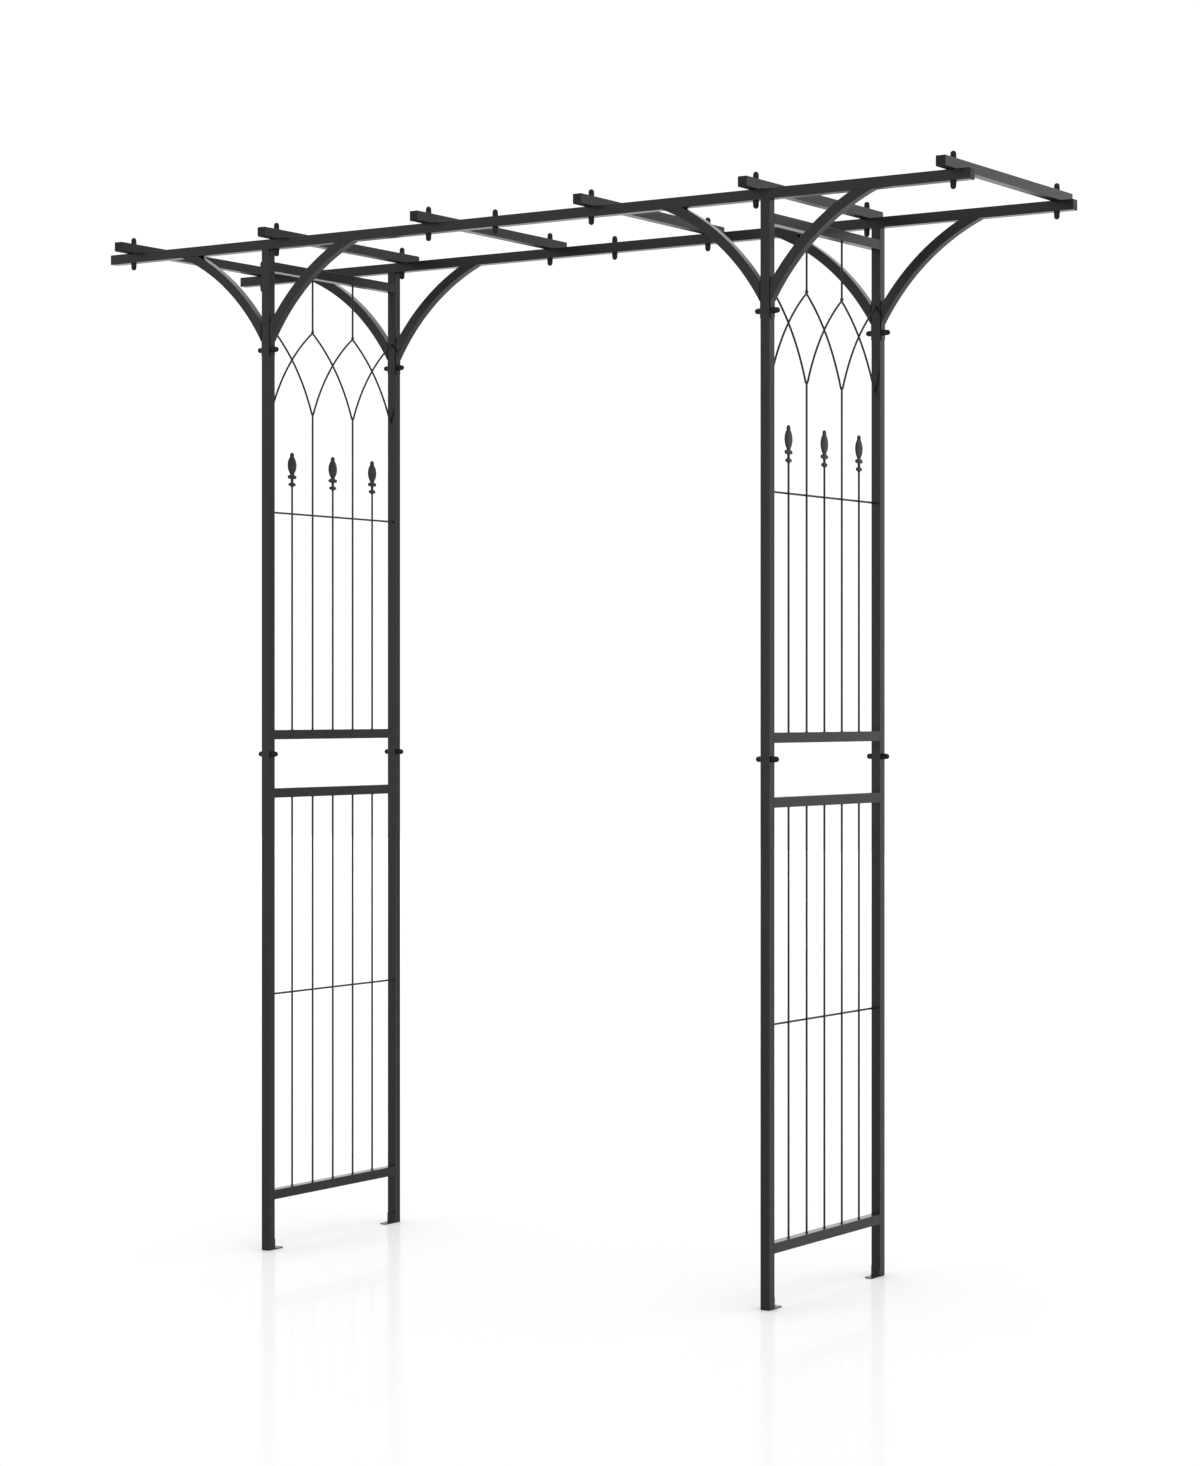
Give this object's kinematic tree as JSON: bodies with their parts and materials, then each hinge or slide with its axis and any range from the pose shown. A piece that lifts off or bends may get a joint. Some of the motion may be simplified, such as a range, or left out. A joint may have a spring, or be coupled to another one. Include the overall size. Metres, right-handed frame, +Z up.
{
  "type": "garden trellis arch",
  "caption": "Free-standing garden arch of square steel tube with lattice side panels, curved corner braces and a slatted top that carries climbing plants.",
  "frame": {"origin": "on the ground under the centre of the arch", "axes": "+X along the arch from its left post pair to its right, -Y towards its front face, +Z up"},
  "size_m": [2, 0.518, 2.0735],
  "materials": {
    "coated_tube": "satin black powder coat on steel tube and plate",
    "coated_wire": "satin black powder coat on steel wire",
    "cast_finial": "satin black powder coat on a flat casting",
    "sleeve_steel": "thin black powder coat",
    "cap_plastic": "matte black moulded plastic",
    "plug_plastic": "matte black moulded plastic",
    "zinc_steel": "zinc-plated"
  },
  "bodies": {
    "root": {"bolt_nuts": "zinc_steel", "brace_back_left_inner": "coated_tube", "brace_back_left_outer": "coated_tube", "brace_back_right_inner": "coated_tube", "brace_back_right_outer": "coated_tube", "brace_bolts": "zinc_steel", "brace_front_left_inner": "coated_tube", "brace_front_left_outer": "coated_tube", "brace_front_right_inner": "coated_tube", "brace_front_right_outer": "coated_tube", "brace_plates": "coated_tube", "cross_wire_lower_left": "coated_wire", "cross_wire_lower_right": "coated_wire", "cross_wire_upper_left": "coated_wire", "cross_wire_upper_right": "coated_wire", "finials_left": "cast_finial", "finials_right": "cast_finial", "foot_brackets": "coated_tube", "lattice_arcs_left": "coated_wire", "lattice_arcs_right": "coated_wire", "lower_wires_left": "coated_wire", "lower_wires_right": "coated_wire", "panel_rail_bottom_left": "coated_tube", "panel_rail_bottom_right": "coated_tube", "panel_rail_lower_mid_left": "coated_tube", "panel_rail_lower_mid_right": "coated_tube", "panel_rail_top_left": "coated_tube", "panel_rail_top_right": "coated_tube", "panel_rail_upper_mid_left": "coated_tube", "panel_rail_upper_mid_right": "coated_tube", "post_bolt_caps": "cap_plastic", "post_bolts": "zinc_steel", "post_lower_back_left": "coated_tube", "post_lower_back_right": "coated_tube", "post_lower_front_left": "coated_tube", "post_lower_front_right": "coated_tube", "post_sleeves": "sleeve_steel", "post_upper_back_left": "coated_tube", "post_upper_back_right": "coated_tube", "post_upper_front_left": "coated_tube", "post_upper_front_right": "coated_tube", "purlin_1": "coated_tube", "purlin_2": "coated_tube", "purlin_3": "coated_tube", "purlin_4": "coated_tube", "purlin_5": "coated_tube", "purlin_6": "coated_tube", "purlin_bolts": "zinc_steel", "purlin_end_plugs": "plug_plastic", "rail_back_left": "coated_tube", "rail_back_right": "coated_tube", "rail_end_plugs": "plug_plastic", "rail_front_left": "coated_tube", "rail_front_right": "coated_tube", "rail_sleeves": "sleeve_steel", "rail_splice_bolts": "zinc_steel", "roof_bolt_caps": "cap_plastic", "upper_wires_left": "coated_wire", "upper_wires_right": "coated_wire"}
  },
  "joints": []
}
